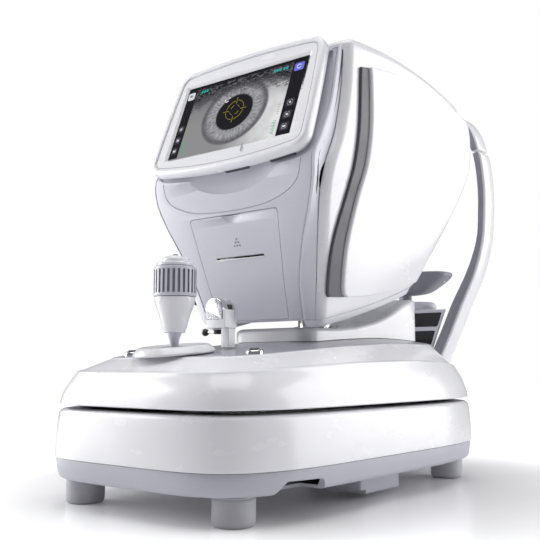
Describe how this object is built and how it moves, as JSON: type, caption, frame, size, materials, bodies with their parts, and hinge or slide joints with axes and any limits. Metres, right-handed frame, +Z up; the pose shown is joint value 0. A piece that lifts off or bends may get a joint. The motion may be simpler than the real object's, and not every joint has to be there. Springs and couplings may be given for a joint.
{
  "type": "autorefractor",
  "caption": "Table-top eye-measuring instrument: joystick-driven stage and lifting head with a leaning display and printer door, facing a face support with an adjustable chin rest.",
  "frame": {"origin": "middle of the whole object's plan, at the foot bottoms", "axes": "+Z up; the operator sits at -Y and the patient at +Y; +X is to the operator's right"},
  "size_m": [0.2698, 0.5232, 0.4449],
  "materials": {
    "white": "gloss",
    "grey": "satin",
    "light_grey": "satin",
    "mid_grey": "satin",
    "dark": "satin",
    "black_gloss": "gloss",
    "rubber": "matte",
    "pad": "soft matte",
    "steel": "brushed",
    "paper": "matte",
    "board": "satin"
  },
  "bodies": {
    "base": {"base_tray": "grey", "base_lower_shell": "white", "base_deck_plate": "dark", "foot_front_left": "rubber", "foot_front_right": "rubber", "foot_rear_left": "rubber", "foot_rear_right": "rubber", "mains_inlet": "dark", "power_supply": "steel", "x_rail_frame": "steel", "face_post_left": "white", "face_post_right": "white", "post_lining_left": "mid_grey", "post_lining_right": "mid_grey", "forehead_bar": "white", "forehead_lining": "mid_grey", "forehead_pad": "pad", "support_pedestal": "light_grey", "pedestal_cover": "light_grey", "pedestal_window": "black_gloss", "chin_column_collar": "light_grey"},
    "power_switch": {"power_switch": "dark"},
    "chin_rest": {"chin_rest": "mid_grey"},
    "cross_slide": {"cross_slide": "steel"},
    "stage": {"stage_chassis": "steel", "stage_skirt": "white", "stage_deck": "mid_grey", "turret_shell": "white", "lift_guide": "steel", "lock_bracket": "white", "joystick_boot": "light_grey"},
    "lock_lever": {"lock_lever": "dark"},
    "button_left": {"deck_button_left": "black_gloss"},
    "button_right": {"deck_button_right": "black_gloss"},
    "joystick_gimbal": {"joystick_yoke": "steel"},
    "joystick": {"joystick_shaft": "light_grey", "joystick_grip": "white"},
    "joystick_ring": {"joystick_ring": "light_grey"},
    "joystick_button": {"joystick_button": "dark"},
    "head": {"lift_column": "steel", "head_casing": "white", "head_lower_lip": "white", "head_front_frame": "grey", "head_front_cover": "grey", "side_panel_left": "white", "side_panel_right": "white", "accent_strip_left": "mid_grey", "accent_strip_right": "mid_grey", "measuring_nose": "mid_grey", "measuring_window": "black_gloss", "optical_bench": "steel", "objective_tube": "dark", "camera_module": "dark", "main_board": "board", "printer_cradle": "dark"},
    "printer_door": {"printer_door": "grey"},
    "paper_roll": {"paper_roll": "paper"},
    "display": {"display_bezel": "white", "display_back": "white", "display_screen": "black_gloss"}
  },
  "joints": [
    {"name": "stage_left_right", "type": "slide", "parent": "base", "child": "cross_slide", "axis": [1, 0, 0], "range_m": [-0.04, 0.04]},
    {"name": "stage_in_out", "type": "slide", "parent": "cross_slide", "child": "stage", "axis": [0, 1, 0], "range_m": [-0.018, 0.018]},
    {"name": "head_lift", "type": "slide", "parent": "stage", "child": "head", "axis": [0, 0, 1], "range_m": [0, 0.03]},
    {"name": "display_tilt", "type": "hinge", "parent": "head", "child": "display", "pos_m": [0, -0.0835, 0.43], "axis": [-1, 0, 0], "range_deg": [0, 35]},
    {"name": "printer_door_open", "type": "hinge", "parent": "head", "child": "printer_door", "pos_m": [0, -0.0853, 0.1723], "axis": [1, 0, 0], "range_deg": [0, 40]},
    {"name": "paper_roll_turn", "type": "hinge", "parent": "head", "child": "paper_roll", "pos_m": [0, -0.0513, 0.225], "axis": [1, 0, 0], "continuous": true},
    {"name": "joystick_tilt_left_right", "type": "hinge", "parent": "stage", "child": "joystick_gimbal", "pos_m": [0, -0.1983, 0.1365], "axis": [0, 1, 0], "range_deg": [-10, 10]},
    {"name": "joystick_tilt_in_out", "type": "hinge", "parent": "joystick_gimbal", "child": "joystick", "pos_m": [0, -0.1983, 0.1365], "axis": [-1, 0, 0], "range_deg": [-10, 10]},
    {"name": "height_ring_turn", "type": "hinge", "parent": "joystick", "child": "joystick_ring", "pos_m": [0, -0.1983, 0.1365], "axis": [0, 0, 1], "range_deg": [0, 725]},
    {"name": "joystick_button_press", "type": "slide", "parent": "joystick", "child": "joystick_button", "axis": [0, 0, -1], "range_m": [0, 0.0016], "stiffness_N_per_m": 300, "springref_m": -0.001},
    {"name": "deck_button_left_press", "type": "slide", "parent": "stage", "child": "button_left", "axis": [0, 0, -1], "range_m": [0, 0.0014], "stiffness_N_per_m": 300, "springref_m": -0.001},
    {"name": "deck_button_right_press", "type": "slide", "parent": "stage", "child": "button_right", "axis": [0, 0, -1], "range_m": [0, 0.0014], "stiffness_N_per_m": 300, "springref_m": -0.001},
    {"name": "lock_lever_swing", "type": "hinge", "parent": "stage", "child": "lock_lever", "pos_m": [0.0025, -0.1433, 0.1545], "axis": [0, 0, 1], "range_deg": [0, 40]},
    {"name": "chin_rest_lift", "type": "slide", "parent": "base", "child": "chin_rest", "axis": [0, 0, 1], "range_m": [0, 0.06]},
    {"name": "power_switch_rock", "type": "hinge", "parent": "base", "child": "power_switch", "pos_m": [-0.129, 0.0857, 0.063], "axis": [0, 0, 1], "range_deg": [-6, 6]}
  ],
  "couplings": [
    {"joint": "height_ring_turn", "follows": "head_lift", "rad_per_m": 419}
  ]
}
